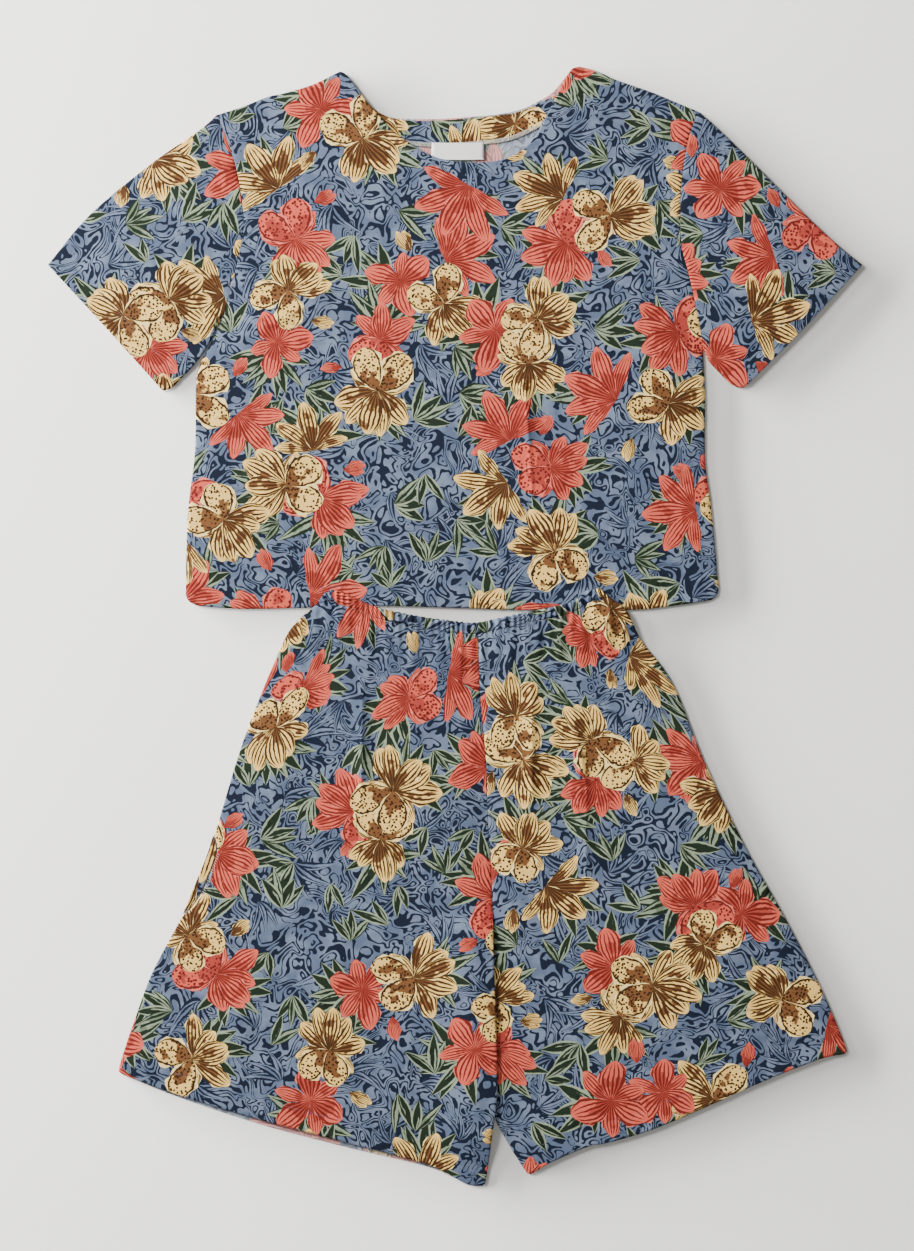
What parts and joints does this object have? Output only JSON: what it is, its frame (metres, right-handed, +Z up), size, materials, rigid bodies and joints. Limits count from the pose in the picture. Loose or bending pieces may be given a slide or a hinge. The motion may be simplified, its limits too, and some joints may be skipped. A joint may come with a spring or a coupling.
{
  "type": "lounge set of short-sleeved top and wide-leg shorts, laid flat",
  "caption": "Printed short-sleeved top and wide-leg shorts with a gathered waist, laid flat one below the other.",
  "frame": {"origin": "middle of the set's plan, on the surface that it lies on", "axes": "+X to the right as seen from above, +Y towards the top's neck, +Z up from the surface"},
  "size_m": [0.814, 1.1181, 0.008],
  "materials": {
    "print": "matte",
    "label": "satin",
    "pocket": "matte"
  },
  "bodies": {
    "root": {"top_front": "print", "top_back": "print", "top_sleeve_left": "print", "top_sleeve_right": "print", "top_neck_facing": "print", "top_label": "label", "shorts_front_left": "print", "shorts_front_right": "print", "shorts_back_left": "print", "shorts_back_right": "print", "shorts_waistband_front": "print", "shorts_waistband_back": "print", "shorts_pocket_left": "pocket"}
  },
  "joints": []
}
